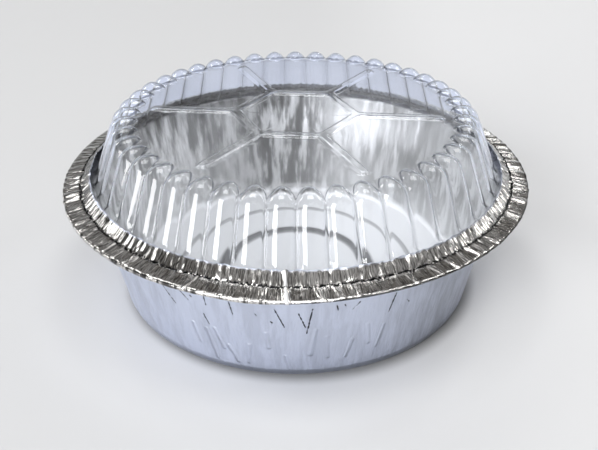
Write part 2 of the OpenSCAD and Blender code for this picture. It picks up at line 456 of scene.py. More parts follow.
def crumple(x, y, z, cell):
    """Height from 0 to 1 of flat facets about one cell wide, 0 on the creases between them."""
    near = noise.voronoi(Vector((x, y, z)) / cell)[0]
    return min(1.0, near[1] ** 2 - near[0] ** 2)


def around(angle, count, seed):
    """Smooth noise round the rim, from about -1 to 1, with about this many waves."""
    r = count / (2 * math.pi)
    return noise.noise(Vector((r * math.cos(angle), r * math.sin(angle), seed * 7.3)))


print("folds ready")

# %% [markdown]
# ## The pan's shape
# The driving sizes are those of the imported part. The wall leans out to the mouth, and the
# sheet turns out into a flange, round a fold at the rim's edge, back in as a flat lip, down
# into a narrow gap and up as a gathered collar against the dome.

# %% Pan sizes
MOUTH_R = 78.8
MOUTH_H = 46.6
WALL_LEAN = math.radians(10.7)
CORNER_R = 3.0
MOUTH_BEND = 1.2
RIM_R = 90.0
EDGE_H = 45.65
FOLD_H = 1.5
LIP_W = 6.8
LIP_RISE = 0.95
COLLAR_W = 4.0
COLLAR_H = 3.3
GAP_W = 0.4
GAP_D = 0.5
FOIL_T = 0.08
# Radius, width and height of each bead of the base.
BEADS = [(31.0, 4.2, 0.9), (50.4, 2.4, 0.5)]

base_r = MOUTH_R - MOUTH_H * math.tan(WALL_LEAN)
lip_top = EDGE_H + FOLD_H
crease = (RIM_R - LIP_W, lip_top + LIP_RISE)
raw_edge = (crease[0] - COLLAR_W, crease[1] + COLLAR_H)
print("base radius", round(base_r, 2), "crease at", crease, "raw edge at", raw_edge)

# %% [markdown]
# The outline runs from the axis over the beads of the base, up the wall and round the rim
# to the raw edge. One more point close to each sharp end keeps the bend there tight.

# %% Pan outline
GAP_LEAD = 0.15
EDGE_SUPPORT = 0.97


def lip_z(out):
    """The lip's height this far outside the crease."""
    return crease[1] - out * LIP_RISE / LIP_W


def collar_point(share):
    return crease[0] - COLLAR_W * share, crease[1] + COLLAR_H * share


pan_points = [(0, 0)]
for r, width, height in BEADS:
    pan_points += [(r - width / 2, 0), (r - width / 5, height), (r + width / 5, height), (r + width / 2, 0)]
first_corner = len(pan_points)
gap_start = (crease[0] + GAP_W, lip_z(GAP_W))
pan_points += [
    (base_r, 0),
    (MOUTH_R, MOUTH_H),
    (RIM_R, EDGE_H),
    (RIM_R, lip_top),
    (crease[0] + GAP_W + GAP_LEAD, lip_z(GAP_W + GAP_LEAD)),
    gap_start,
    (crease[0] + GAP_W / 2, crease[1] - GAP_D),
    crease,
    collar_point(EDGE_SUPPORT),
    raw_edge,
]
print("pan outline", len(pan_points), "points")

# %% [markdown]
# Rows lie closest on the lip, where the folds are narrow, and there the columns are split
# too. The distances of the corners along the sheet tell its parts apart later on.

# %% Pan rings
PAN_COLUMNS = 360
LIP_CUTS = 3
BASE_ROW, WALL_ROW, FLANGE_ROW, LIP_ROW = 5.0, 3.0, 4.0, 1.1
# Radius and segments for the base's corner, the mouth, and the two corners of the fold.
ROUNDINGS = [(CORNER_R, 4), (MOUTH_BEND, 3), (FOLD_H * 0.4, 3), (FOLD_H * 0.2, 2)]

bm, corners = start_outline(pan_points)
for corner, (radius, segments) in zip(corners[first_corner:], ROUNDINGS):
    round_corner(bm, corner, radius, segments)
add_rows(bm, BASE_ROW, lambda p: p.z < 1)
add_rows(bm, WALL_ROW, lambda p: p.z > 1 and p.x < MOUTH_R - 0.2)
add_rows(bm, FLANGE_ROW, lambda p: p.x > MOUTH_R and p.z < MOUTH_H + 0.1)
add_rows(bm, LIP_ROW, lambda p: p.z > MOUTH_H + 0.1)
along, stations = spin_outline(bm, PAN_COLUMNS)
at_corner = station(stations, base_r, CORNER_R)
at_mouth = station(stations, MOUTH_R, MOUTH_H)
at_fold = station(stations, RIM_R, EDGE_H)
at_lip = station(stations, RIM_R - 0.4, lip_top)
at_gap = station(stations, *gap_start)
at_crease = station(stations, *crease)
at_edge = stations[-1][1]
finer_rings(bm, along, at_fold - 1.0, at_edge + 1, LIP_CUTS)
print("pan rows", len(stations), "faces", len(bm.faces))
print("fold, crease and edge at", [round(s, 1) for s in (at_fold, at_crease, at_edge)])

# %% [markdown]
# Now the sheet is pushed about. Every point moves along the direction square to the smooth
# sheet. Each of the four parts has its own marks: faint dents in the base, tall shallow
# wrinkles in the wall, flat folds across the lip, and many tight pleats on the collar, which
# had the most foil to lose. The rim's line also sags a little at the front.

# %% Droop and wall
FRONT = math.radians(-92)
DROOP = 0.9
DROOP_SPREAD = math.radians(13)
BASE_DENT = 0.15
BASE_DENT_SIZE = 14
WALL_WRINKLE = 0.75
WALL_WAVES = 120
WALL_FINE_WAVES = 260
WALL_PATCH = 22


def droop(angle, r):
    """How far the rim hangs down at a point, in mm."""
    off = (angle - FRONT + math.pi) % (2 * math.pi) - math.pi
    return DROOP * math.exp(-(off / DROOP_SPREAD) ** 2) * min(1, max(0, (r - MOUTH_R) / (RIM_R - MOUTH_R)))


def wall_move(angle, r, z, share):
    """How far the wall stands out at a point, in mm. share is 0 at its foot and 1 at the mouth."""
    lean = 0.06 * around(angle, 9, 3)
    tall = around(angle + lean * share, WALL_WAVES, 1)
    tall += 0.6 * around(angle - lean * share, WALL_FINE_WAVES, 2)
    patch = noise.noise(Vector((r * math.cos(angle), r * math.sin(angle), z)) / WALL_PATCH)
    fade = smooth_step(0, 0.15, share) * (0.5 + 0.5 * share)
    return WALL_WRINKLE * fade * (tall * (0.6 + 0.8 * patch) + 0.8 * patch)


print("wall wrinkles", WALL_WRINKLE, "mm")

# %% [markdown]
# The lip has a few strong folds at places of their own, and the tallest, at the front, runs
# on over the collar. Between them lie uneven flat folds, taller at the left and the right
# than at the front. The bend at the edge is pinched in at the right front, round elsewhere.

# %% Lip and collar
LIP_FOLD = 1.0
LIP_FINE = 0.12
LIP_CRUMPLE = 0.12
LIP_FACET = 3.5
LIP_ROLL = 0.6
COLLAR_PLEAT = 0.85
COLLAR_CRUMPLE = 0.25
COLLAR_FACET = 2.5
lip_folds = Folds(250, 0.9, 0.1, 5)
lip_fine = Folds(500, 0.8, 0.2, 6)
collar_folds = Folds(380, 0.9, 0.15, 7)
# Place and slant in degrees, height and half width in mm.
TALL_FOLD = (-92.4, 0.65, 1.1, 1.2)
SHARP_FOLDS = [
    TALL_FOLD, (-86, 2, 0.4, 0.8), (-82.5, 2.5, 0.35, 0.8), (-79, 2.5, 0.35, 0.8),
    (-66, 2, 0.35, 0.8), (-60, 2.5, 0.4, 0.8), (-55, 1.5, 0.4, 0.8), (-48, 2, 0.4, 0.8),
    (-41, 1.5, 0.4, 0.8), (-112, -1.5, 0.35, 0.9), (-129, -1, 0.4, 0.9), (-146, 2, 0.5, 1.0),
]


def sharp_folds(angle, share, folds):
    """Height of the strong folds that cross the lip, in mm."""
    height = 0
    for place, slant, tall, half in folds:
        off = abs(math.degrees(angle) - place - slant * (1 - share)) * math.radians(1) * RIM_R
        height += tall * max(0, 1 - off / half)
    return height


def tucked(angle):
    """1 where the fold is pinched in from below, and 0 where it stays round."""
    return smooth_step(0.6, 0.8, math.cos(angle + math.radians(50)) + 0.25 * around(angle, 9, 21))


def lip_move(angle, r, z, share):
    """The lip's height above its smooth surface. share is 0 at the fold and 1 at the crease."""
    slant = 0.03 * around(angle, 7, 4) * share
    busy = max(0.15, 0.3 + 0.7 * abs(math.cos(angle)) + 0.8 * around(angle, 11, 9))
    folds = LIP_FOLD * busy * lip_folds.at(angle + slant) + LIP_FINE * lip_fine.at(angle - slant)
    facets = LIP_CRUMPLE * crumple(r * math.cos(angle), r * math.sin(angle), z, LIP_FACET)
    roll = LIP_ROLL * max(0, around(angle, 14, 11)) * smooth_step(0.4, 0, share) * (1 - tucked(angle))
    return (0.35 + 0.65 * share) * folds + facets + sharp_folds(angle, share, SHARP_FOLDS) - roll


def collar_move(angle, r, z, share):
    """The collar's pleats, which open out towards the raw edge, where share is 1."""
    slant = 0.04 * around(angle, 9, 5) * share
    busy = max(0.3, 0.75 + 0.6 * around(angle, 17, 10))
    pleats = COLLAR_PLEAT * busy * collar_folds.at(angle + slant)
    facets = COLLAR_CRUMPLE * crumple(r * math.cos(angle), r * math.sin(angle), z, COLLAR_FACET)
    return (0.4 + 0.6 * share) * pleats + facets * share + sharp_folds(angle, 1, [TALL_FOLD])


print("strong folds", len(SHARP_FOLDS))

# %% [markdown]
# Near the crease, the edge and the fold the foil also strays outward and upward, because
# these lines were pressed by a machine and are never quite true circles.

# %% Push the foil
EDGE_STRAY = 0.35
EDGE_RISE = 0.3
TEETH = 0.6
TUCK = 1.1
crease_teeth = Folds(300, 0.9, 0.2, 8)


def square_move(s, angle, r, x, y, z):
    """How far a point moves square to the smooth sheet, in mm. The flange stays flat."""
    if s < at_corner:
        dents = abs(noise.noise(Vector((x, y, 5)) / BASE_DENT_SIZE))
        return -BASE_DENT * dents * smooth_step(0, 6, at_corner - s)
    if s < at_mouth:
        return wall_move(angle, r, z, (s - at_corner) / (at_mouth - at_corner))
    if s < at_fold - 1:
        return 0
    if s < at_crease:
        rising = smooth_step(at_fold - 1, at_fold + 2, s)
        return rising * lip_move(angle, r, z, (s - at_fold) / (at_crease - at_fold))
    return collar_move(angle, r, z, (s - at_crease) / (at_edge - at_crease))


def rim_shift(s, angle):
    """How far a point of the rim also moves outward and upward, in mm."""
    near_edge = smooth_step(at_edge - 1.5, at_edge, s)
    near_crease = math.exp(-((s - at_crease) / 1.4) ** 2)
    near_fold = smooth_step(at_fold - 3, at_fold, s) * smooth_step(at_fold + 5, at_fold + 1, s)
    under_fold = smooth_step(at_fold - 4, at_fold - 0.5, s) * smooth_step(at_lip, at_fold + 0.2, s)
    wander = EDGE_STRAY * (near_edge * 1.2 + near_crease) * around(angle, 230, 12)
    teeth = TEETH * near_crease * (crease_teeth.at(angle) - 0.3)
    waves = near_fold * (0.25 * abs(around(angle, 90, 13)) + 0.2 * abs(around(angle, 300, 15)))
    outward = wander + teeth - waves - TUCK * tucked(angle) * under_fold
    return outward, near_edge * EDGE_RISE * around(angle, 260, 14)


def push_foil(bm):
    for v in bm.verts:
        x, y, z = v.co / MM
        s = v[along]
        r = math.hypot(x, y)
        angle = math.atan2(y, x)
        moved = v.co / MM + v.normal * square_move(s, angle, r, x, y, z)
        if s > at_fold - 3:
            outward, upward = rim_shift(s, angle)
            moved += outward * Vector((x / r, y / r, 0))
            moved.z += upward
        moved.z -= droop(angle, r)
        v.co = moved * MM


face_outward(bm, up_at_axis=False)
push_foil(bm)
print("foil", sum(len(f.verts) - 2 for f in bm.faces), "triangles a side")

# %% [markdown]
# ## Foil finishes
# Foil is metal right through, so its colour lives in the metal and not in a coat on it. The wall is satin and
# cool outside, and dull and grey inside, where the grey is mostly painted shade. What was folded and pinched
# is bright. All of it is streaked, in relief, in roughness and in painted light and shade, and noise makes
# streaks when its coordinates are squashed: in height for the wall, and as a direction from the axis for the
# rim.

# %% Foil patterns
RIM_FROM_R = mm(79.2, 80.2)
RIM_FROM_Z = mm(43, 44)
DRAWN_FROM_Z = mm(1, 4)
SQUASH = 0.08
# Scale, detail and roughness of each noise.
STREAKS = (420, 4, 0.55)
BANDS = (250, 4, 0.6)
BROAD = (90, 3, 0.5)
PLEATS = (130, 2, 0.5)
LINES = (170, 3, 0.5)
BREAKS = (22, 4, 0.6)
FLECKS = (900, 1, 0.5)


class FoilMap:
    """Where a point of the foil lies, and the noises that its patterns share."""

    def __init__(self, w):
        place = w.node("TexCoord", output=3)
        self.x, self.y, self.z = place.parts()
        self.radius = (self.x * self.x + self.y * self.y) ** 0.5
        self.along = w.node("Attribute", {"attribute_name": "along"}, output=2)
        self.rim = self.radius.step(*RIM_FROM_R) * self.z.step(*RIM_FROM_Z)
        self.drawn = self.z.step(*DRAWN_FROM_Z)
        upright = w.node("CombineXYZ", X=self.x, Y=self.y, Z=self.z * SQUASH)
        self.streaks = upright.cloud(*STREAKS)
        self.bands = upright.cloud(*BANDS)
        self.broad = upright.cloud(*BROAD)
        outward = w.node("CombineXYZ", X=self.x / self.radius, Y=self.y / self.radius, Z=self.radius)
        self.pleats = outward.cloud(*PLEATS)
        self.lines = outward.cloud(*LINES)
        self.breaks = outward.cloud(*BREAKS)
        self.flecks = place.cloud(*FLECKS)


print("foil map ready")

# %% [markdown]
# The wall outside has a few creases and soft folds at places of their own. They are drawn on
# the unrolled wall, where each one is a short line, and a Mapping node turns the wall so that
# the line lies flat. The distance to it is then the length of what lies past its ends and
# beside it.

# %% Marks on the wall
WALL_MEAN_R = 75.0
# Azimuth in degrees, height of the top and length in mm, and slant in degrees.
CREASES = [
    (-127, 33, 7.5, 35), (-121, 34, 4, 40), (-118, 33.5, 0.6, 40), (-115, 26, 4.5, 18),
    (-114, 35, 4, 5), (-107, 35.5, 6.5, 8), (-100.5, 31, 0.6, 36), (-96.5, 28, 0.6, 35),
    (-95.5, 34, 9, 20), (-89.5, 32, 7, 20), (-86, 34, 11.5, -9), (-80, 35, 2.5, 11),
    (-78, 35, 0.7, 35), (-74, 35, 3.5, -38), (-64, 35, 8.5, -11), (-60, 30, 1.5, 40),
]
SOFT_FOLDS = [
    (-119, 20, 9, 10), (-115, 19, 14, 10), (-112.5, 20, 9, 16), (-109, 13, 8, 22),
    (-103, 15, 9, -4), (-98, 22, 7, 6), (-93, 11, 7, 12), (-85, 24, 12, -8),
    (-82, 20, 10, 4), (-75, 17, 8, -14), (-71, 23, 9, 8), (-66, 21, 10, -10),
]


def unrolled_wall(w, f):
    """The wall laid flat, in mm: along it and up it."""
    return w.node("CombineXYZ", X=w.math("ARCTAN2", f.y, f.x) * WALL_MEAN_R, Y=f.z * (1 / MM), Z=0.0)


def from_mark(wall, azimuth, top, length, slant):
    """Distance in mm from one short line on the unrolled wall."""
    lean = math.radians(slant)
    middle_x = math.radians(azimuth) * WALL_MEAN_R + length / 2 * math.sin(lean)
    middle_y = top - length / 2 * math.cos(lean)
    local = wall.node("Mapping", {"vector_type": "TEXTURE"}, Vector=wall,
                      Location=(middle_x, middle_y, 0), Rotation=(0, 0, lean - math.pi / 2))
    folded = wall.node("VectorMath", {"operation": "ABSOLUTE"}, i0=local)
    beyond = wall.node("VectorMath", {"operation": "SUBTRACT"}, i0=folded, i1=(length / 2, 0, 0))
    outside = wall.node("VectorMath", {"operation": "MAXIMUM"}, i0=beyond, i1=(0, 0, 0))
    return wall.node("VectorMath", {"operation": "LENGTH"}, output=1, i0=outside)


def from_nearest(wall, marks):
    nearest = from_mark(wall, *marks[0])
    for mark in marks[1:]:
        nearest = wall.math("MINIMUM", nearest, from_mark(wall, *mark))
    return nearest


print("creases", len(CREASES), "soft folds", len(SOFT_FOLDS))

# %% [markdown]
# A tone says how much of its colour a point shows, and most tones here are painted light and shade. The
# wall's tone is a row of uneven bands of painted shade, which stand for the light and dark streaks of its
# wrinkles. Outside they are faint, and the right front has more painted shade. Inside they are strong near
# the mouth and fade towards the base, with a stretch of painted shade in the middle of the far wall and a
# painted highlight to the right of it. The base's beads are darker rings of painted shade.

# %% Tones of the wall and the base
BASE_TONE = 0.78
BAND_EDGES = (0.42, 0.58)
# The painted shade on the right front of the wall outside.
RIGHT_SHADE_X, RIGHT_SHADE_Y = mm(15, 60), mm(-45, -8)
RIGHT_SHADE_SHARE, RIGHT_SHADE_STREAKS = 0.40, 0.12
# The calm lower part with its even painted grey, the painted highlight at the right and the painted shade in
# the middle of the far wall inside.
CALM_Z = mm(12, 32)
CALM_TONE, CALM_SHARE = 0.64, 0.6
WALL_HIGHLIGHT_X, WALL_HIGHLIGHT_Z = mm(4, 24), mm(24, 34)
WALL_HIGHLIGHT_SHARE = 0.65
MIDDLE_X, MIDDLE_HALF, MIDDLE_Y = -6 * MM, mm(6, 26), mm(20, 45)
MIDDLE_SHADE_SHARE = 0.55


def shade_bands(f, dark):
    """Painted shade in uneven upright bands, between this tone and full brightness."""
    return (f.bands * 0.7 + f.broad * 0.3).step(*BAND_EDGES, dark, 1.0)


def outside_tone(f, dark):
    tone = (1 - f.drawn) * BASE_TONE + f.drawn * shade_bands(f, dark)
    # Painted shade darkens the right front of the wall, with streaks in it.
    right_shade = f.x.step(*RIGHT_SHADE_X) * f.y.fade(*RIGHT_SHADE_Y)
    return tone * (1 - right_shade * (RIGHT_SHADE_SHARE + RIGHT_SHADE_STREAKS * f.streaks.step(0.40, 0.65)))


def inside_tone(f, dark):
    # The lower part takes an even painted grey in place of the bands.
    calm = f.z.fade(*CALM_Z) * CALM_SHARE
    wall = shade_bands(f, dark) * (1 - calm) + calm * CALM_TONE
    # Painted highlight on the right of the far wall.
    wall_highlight = f.x.step(*WALL_HIGHLIGHT_X) * f.z.step(*WALL_HIGHLIGHT_Z) * WALL_HIGHLIGHT_SHARE
    wall = wall + (1 - wall) * wall_highlight
    tone = (1 - f.drawn) * BASE_TONE + f.drawn * wall
    # Painted shade in the middle of the far wall.
    middle_shade = abs(f.x - MIDDLE_X).fade(*MIDDLE_HALF) * f.y.step(*MIDDLE_Y)
    return tone * (1 - f.drawn * middle_shade * f.bands.fade(0.45, 0.60) * MIDDLE_SHADE_SHARE)


# Painted shade: a darker ring on each bead of the base.
def with_bead_shade(f, tone):
    for bead_r, width, height in BEADS:
        off = abs(f.radius - bead_r * MM)
        ring = off.step(*mm(width * 0.25, width * 0.85), height * 0.8, 0.0)
        tone = tone * (1 - (1 - f.drawn) * ring)
    return tone


def under_rim(f, dark):
    """Streaks of shade just below the mouth, stronger where the bands are strong."""
    shade = f.z.step(*mm(36, 46)) * f.broad.step(0.40, 0.56)
    return 1 - (0.9 - 0.9 * dark) * shade


print("base tone", BASE_TONE)

# %% [markdown]
# On the rim the tone carries painted shade: thin dark lines between the pleats, a bend that is bright in some
# parts and painted dim in others, and a dark raw edge. At the left the lip gets a little painted shade and
# the collar a lot. The gap between the lip and the collar is a black, jagged painted shadow. The tall fold at
# the front has a painted white highlight, so there the foil is hardly metallic.

# %% Tones of the rim
# Painted shadow colour of the gap between the lip and the collar.
GAP_SHADOW_COLOUR = (0.01, 0.01, 0.012, 1)
# Painted highlight of the tall fold at the front: its colour, roughness and place.
FOLD_HIGHLIGHT_COLOUR = (0.74, 0.74, 0.745, 1)
FOLD_HIGHLIGHT_ROUGH = 0.5
FOLD_HIGHLIGHT_X = 3.4 * MM
FOLD_HIGHLIGHT_Y = 84.5 * MM
FOLD_HIGHLIGHT_SLANT = 0.11
# Painted shade on the rim: lines between the pleats, parts of the bend, the raw edge and the left side.
PLEAT_LINE_SHADE = 0.3
RAW_EDGE_SHADE = 0.3
BEND_SHADE_SHARE = 0.85
LIP_LEFT_X, LIP_LEFT_SHADE_SHARE = mm(-76, -42), 0.1
COLLAR_LEFT_X, COLLAR_LEFT_SHADE_SHARE = mm(-66, -18), 0.55
GAP_JAGS = 2.6


def rim_shade_tone(f):
    # Every factor here is painted shade that darkens the rim's colour.
    lines = abs(f.lines - 0.5).step(0.0, 0.07, PLEAT_LINE_SHADE, 1.0)
    on_bend = f.along.step(at_fold - 1, at_fold - 0.3) * f.along.fade(at_lip, at_lip + 0.6)
    bend_shade = on_bend * (f.breaks + f.x.step(*mm(5, 22)) * 0.25).step(0.51, 0.58)
    edge = f.along.step(at_edge - 0.35, at_edge - 0.1, 1.0, RAW_EDGE_SHADE)
    on_collar = f.along.step(at_crease, at_crease + 0.5)
    lip_left_shade = f.x.fade(*LIP_LEFT_X) * LIP_LEFT_SHADE_SHARE
    collar_left_shade = f.x.fade(*COLLAR_LEFT_X) * on_collar * COLLAR_LEFT_SHADE_SHARE
    return lines * (1 - bend_shade * BEND_SHADE_SHARE) * edge * (1 - lip_left_shade) * (1 - collar_left_shade)


def painted_gap_shadow(f):
    """Painted shadow: 1 in the gap between the lip and the collar, but for a few flecks."""
    jagged = f.along + (f.pleats - 0.5) * GAP_JAGS
    gap_shadow = jagged.step(at_gap - 0.35, at_gap - 0.15) * jagged.fade(at_crease + 0.25, at_crease + 0.45)
    return gap_shadow * f.flecks.fade(0.60, 0.64)


def painted_fold_highlight(f, gap_shadow):
    """Painted highlight: 1 along the tall fold at the front, where it crosses the lip and the collar."""
    off = abs(f.x + FOLD_HIGHLIGHT_X + (f.y + FOLD_HIGHLIGHT_Y) * FOLD_HIGHLIGHT_SLANT + (f.streaks - 0.5) * 1.5 * MM)
    return off.fade(*mm(0.35, 0.65)) * f.y.fade(*mm(-70, -60)) * (1 - gap_shadow) * f.rim


print("rim tones ready")

# %% [markdown]
# One recipe makes both finishes. The painted tones, which are painted light and shade, scale the metal's own
# colour. The wall and the rim each have a relief of their own, and only the outside carries the marks, whose
# creases are also darkened by painted shade.

# %% Foil materials
RIM_RELIEF = 0.07
CREASE_EDGE = (0.05, 0.28)
CREASE_SHADE = 0.95
SOFT_FOLD_EDGE = (0.0, 1.15)
SOFT_FOLD_HEIGHT = 0.31


def foil_material(name, outside, wall_colour, rim_colour, base_rough, wall_rough, rim_rough,
                  wall_relief, dark):
    material, w = new_material(name)
    f = FoilMap(w)
    relief = (f.streaks * 0.5 + f.broad) * f.drawn
    if outside:
        wall = unrolled_wall(w, f)
        creased = (from_nearest(wall, CREASES) + (f.flecks - 0.5) * 0.7).fade(*CREASE_EDGE)
        soft = from_nearest(wall, SOFT_FOLDS) + (f.streaks - 0.5) * 1.6
        relief = relief - creased + soft.step(*SOFT_FOLD_EDGE, SOFT_FOLD_HEIGHT, 0.0)
        # The creases are cut into the relief and also darkened by painted shade.
        tone = outside_tone(f, dark) * (1 - CREASE_SHADE * creased)
    else:
        tone = inside_tone(f, dark)
    tone = with_bead_shade(f, tone) * under_rim(f, dark)
    # Painted shadow in the gap between the lip and the collar.
    gap_shadow = painted_gap_shadow(f)
    fold_highlight = painted_fold_highlight(f, gap_shadow)
    colour = gap_shadow.mix(f.rim.mix(tone.shade(wall_colour), rim_shade_tone(f).shade(rim_colour)), GAP_SHADOW_COLOUR)
    # The tall fold at the front gets its painted white highlight.
    colour = fold_highlight.mix(colour, FOLD_HIGHLIGHT_COLOUR)
    smooth = base_rough * (1 - f.drawn) + (wall_rough + (f.broad - 0.5) * 0.12) * f.drawn
    bright = rim_rough + (f.streaks - 0.5) * 0.1
    rough = smooth * (1 - f.rim) + bright * f.rim * (1 - fold_highlight) + FOLD_HIGHLIGHT_ROUGH * f.rim * fold_highlight
    wall_bump = w.node("Bump", Height=relief, Strength=1.0, Distance=wall_relief * MM)
    rim_bump = w.node("Bump", Height=abs(f.pleats - 0.5) * 2.0, Strength=1.0, Distance=RIM_RELIEF * MM)
    bump = w.node("Mix", {"data_type": "VECTOR"}, output=1, i0=f.rim, i4=wall_bump, i5=rim_bump)
    show(w.node("BsdfPrincipled", Base_Color=colour, Metallic=1 - fold_highlight * 0.8, Roughness=rough, Normal=bump))
    return material


foil_outside = foil_material(
    "foil_outside", outside=True, wall_colour=(0.67, 0.714, 0.84), rim_colour=(0.90, 0.88, 0.85),
    base_rough=0.36, wall_rough=0.38, rim_rough=0.15, wall_relief=1.1, dark=0.88)
foil_inside = foil_material(
    "foil_inside", outside=False, wall_colour=(0.97, 0.97, 0.965), rim_colour=(0.86, 0.87, 0.92),
    base_rough=0.70, wall_rough=0.38, rim_rough=0.40, wall_relief=0.6, dark=0.42)
print("foil finishes ready")

# %% [markdown]
# The pushed sheet has no thickness yet. A Solidify modifier gives it the foil's own, inwards,
# and puts the inside finish on the new side. Weighted normals keep the flat parts of the
# folds flat, so that they mirror the room cleanly.

# %% Pan object
def shade_smooth(thing):
    for polygon in thing.data.polygons:
        polygon.use_smooth = True


def give_thickness(thing, thickness, inner_slot):
    sheet = thing.modifiers.new("sheet", "SOLIDIFY")
    sheet.thickness = thickness * MM
    sheet.offset = -1
    sheet.material_offset = inner_slot
    thing.modifiers.new("even_shading", "WEIGHTED_NORMAL")


pan = finished_object("foil_pan_sheet", bm, foil_outside, foil_inside)
shade_smooth(pan)
give_thickness(pan, FOIL_T, 1)
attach(pan, "root")
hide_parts("foil_pan")
print("pan sheet", len(pan.data.polygons), "faces")

# %% [markdown]
# ## The lid's shape
# The lid is a sheet of clear plastic that was drawn down over a mould. Its flat top has a
# hexagon of ribs with a spoke from each corner, and its side is a row of round flutes that
# end in round tips on the top.

# %% Lid sizes
PLATE_Z = 70.3
CREST_H = 2.1
DOME_LEAN = math.radians(20.7)
SHOULDER_R = 6.5
VALLEY_SHOULDER_R = 6.0
TIP_LEN = 4.5
FLUTES = 45
FLUTE_SIDE = math.radians(50)
FLUTE_TURN = math.radians(-6)
FOOT_H = 2.6
LID_FLANGE_W = 6.6
LID_FLANGE_RISE = 1.2
LID_T = 0.25
LID_EDGE = (88.825, 46.12)
LID_FLANGE_IN = (LID_EDGE[0] - LID_FLANGE_W, LID_EDGE[1] + LID_FLANGE_RISE)
TURN = math.pi / 2 - DOME_LEAN
TOP_Z = PLATE_Z + CREST_H
FOOT_Z = MOUTH_H + FOOT_H


def crest_r(z):
    return MOUTH_R - (z - MOUTH_H) * math.tan(DOME_LEAN)


def valley_r(z):
    r = crest_r(z)
    return r - r * math.sin(math.pi / FLUTES) * math.tan(FLUTE_SIDE / 2) / math.cos(DOME_LEAN)


crest_in = crest_r(TOP_Z) - SHOULDER_R * math.tan(TURN / 2)
valley_in = valley_r(PLATE_Z) - VALLEY_SHOULDER_R * math.tan(TURN / 2)
tip_r = crest_in - TIP_LEN
print("crest, valley and tip start at", [round(r, 2) for r in (crest_in, valley_in, tip_r)])

# %% [markdown]
# A flute is the same all the way down, so its surface is a blend of two outlines: one along
# its crest and one along the valley beside it. The share of the blend follows a circle's
# arc across the flute, and comes nearer to a half circle at the tip. Both outlines have the
# same number of rows, so a row is all that is needed to find a point on either.

# %% Flutes
TIP_ROWS = 6
ARC_ROWS = 8
WALL_ROWS = 8
TIP_FLARE = 2.8
BEND_OUT = 0.38
BEND_DOWN = 0.7
BEND_STEP = 1.0


def shoulder(start, top, radius, t):
    return start + radius * math.sin(t), top - radius * (1 - math.cos(t))


def flute_lines():
    """The crest's and the valley's outlines, as matching lists of (radius, height)."""
    crest = []
    valley = []
    rows = TIP_ROWS + ARC_ROWS
    first = math.asin(TIP_FLARE / VALLEY_SHOULDER_R)
    for i in range(rows + 1):
        if i < TIP_ROWS:
            t = i / TIP_ROWS * math.pi / 2
            crest.append((tip_r + TIP_LEN * (1 - math.cos(t)), PLATE_Z + CREST_H * math.sin(t)))
        else:
            crest.append(shoulder(crest_in, TOP_Z, SHOULDER_R, TURN * (i - TIP_ROWS) / ARC_ROWS))
        valley.append(shoulder(valley_in, PLATE_Z, VALLEY_SHOULDER_R, first + (TURN - first) * i / rows))
    for line, radius_at in ((crest, crest_r), (valley, valley_r)):
        top = line[-1][1]
        for i in range(1, WALL_ROWS + 1):
            z = top + (FOOT_Z - top) * i / WALL_ROWS
            line.append((radius_at(z), z))
    bend_r = crest_r(FOOT_Z) * (1 - BEND_OUT) + LID_FLANGE_IN[0] * BEND_OUT
    bend_z = FOOT_Z * (1 - BEND_DOWN) + LID_FLANGE_IN[1] * BEND_DOWN
    crest += [(bend_r, bend_z), LID_FLANGE_IN, LID_EDGE]
    valley += [(bend_r - BEND_STEP, bend_z), LID_FLANGE_IN, LID_EDGE]
    return crest, valley


def flute_share(angle, roundness):
    """1 on a crest, as at angle 0, and 0 in a valley, along an arc: a half circle at roundness 1."""
    pitch = 2 * math.pi / FLUTES
    off = abs((angle + pitch / 2) % pitch - pitch / 2) / (pitch / 2)
    flat = math.cos(FLUTE_SIDE)
    arc = (math.sqrt(1 - (off * math.sin(FLUTE_SIDE)) ** 2) - flat) / (1 - flat)
    return arc + (math.sqrt(max(0, 1 - off * off)) - arc) * roundness


crest_line, valley_line = flute_lines()
print("flute rows", len(crest_line))

# %% [markdown]
# The flat top starts as plain rings. Near the hexagon the rings are pulled onto its sides,
# and near each spoke the columns are pulled onto the spoke's edges, so that a few rows are
# enough to draw the ribs cleanly. A rib's height depends only on the distance to the
# nearest rib line, blended where three of them meet, which rounds the corners between them.

# %% Ribs
HEX_R = 23.2
HEX_TURN = math.radians(-5.6)
SPOKE_R = 56.5
RIB_TOP = 1.2
RIB_SIDE = 1.3
RIB_H = 1.0
RIB_BLEND = 1.6
RIB_FOOT = RIB_TOP + RIB_SIDE
SECTOR = math.pi / 3
HEX_FLAT = HEX_R * math.cos(math.pi / 6)


def rib_height(x, y):
    """Height of the ribs above the flat top at a point of its plan, in mm."""
    r = math.hypot(x, y)
    angle = math.atan2(y, x) - HEX_TURN
    off = (angle + SECTOR / 2) % SECTOR - SECTOR / 2
    hexagon = abs(r * math.cos(SECTOR / 2 - abs(off)) - HEX_FLAT)
    along_spoke = r * math.cos(off)
    past = max(HEX_R - along_spoke, along_spoke - (SPOKE_R - RIB_FOOT), 0)
    spoke = math.hypot(abs(r * math.sin(off)), past)
    soft = max(RIB_BLEND - abs(hexagon - spoke), 0) / RIB_BLEND
    nearest = min(hexagon, spoke) - soft * soft * RIB_BLEND / 4
    return RIB_H * (1 - smooth_step(RIB_TOP, RIB_FOOT, nearest))


print("hexagon", round(HEX_FLAT, 2), "mm to a side")

# %% [markdown]
# Each sixth of the top has the same columns, counted from its spoke. The first ones follow
# the spoke's edges at fixed distances, and the rest share the angle that is left.

